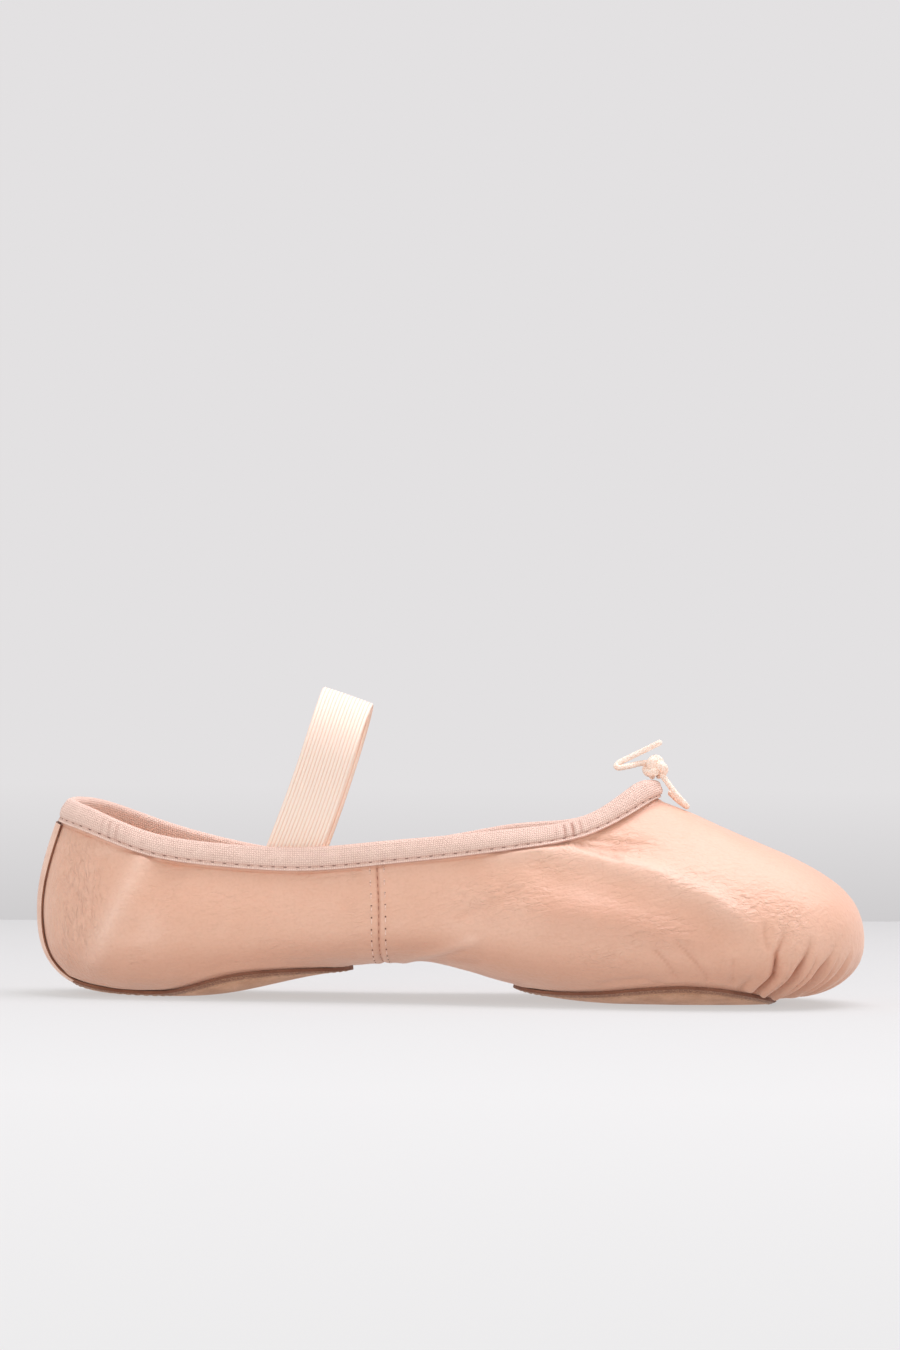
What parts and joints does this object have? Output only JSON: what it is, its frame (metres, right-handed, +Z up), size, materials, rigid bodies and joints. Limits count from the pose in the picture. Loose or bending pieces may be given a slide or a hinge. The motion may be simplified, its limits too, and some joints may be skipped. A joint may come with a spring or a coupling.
{
  "type": "ballet slipper",
  "caption": "Soft leather split-sole ballet slipper with a bound collar, an elastic strap over the instep and a drawstring bow at the throat.",
  "frame": {"origin": "on the floor under the middle of the slipper's length and width, with the slipper standing empty on its two suede patches", "axes": "+X towards the toe, +Y across the slipper, +Z up"},
  "size_m": [0.24, 0.079, 0.09],
  "materials": {
    "leather": "soft pink full-grain leather with a satin finish",
    "suede": "brown suede, napped and matte",
    "canvas": "woven cotton tape, matte",
    "cotton": "cotton lining cloth, matte",
    "elastic": "ribbed woven elastic, slightly silky",
    "cord": "braided cotton cord, matte"
  },
  "bodies": {
    "root": {"upper": "leather", "forefoot_sole": "suede", "heel_sole": "suede", "collar_tape": "canvas", "forefoot_insole": "cotton", "heel_insole": "cotton", "elastic_strap": "elastic", "drawstring_knot": "cord", "drawstring_end": "cord", "drawstring_loop": "cord"}
  },
  "joints": []
}
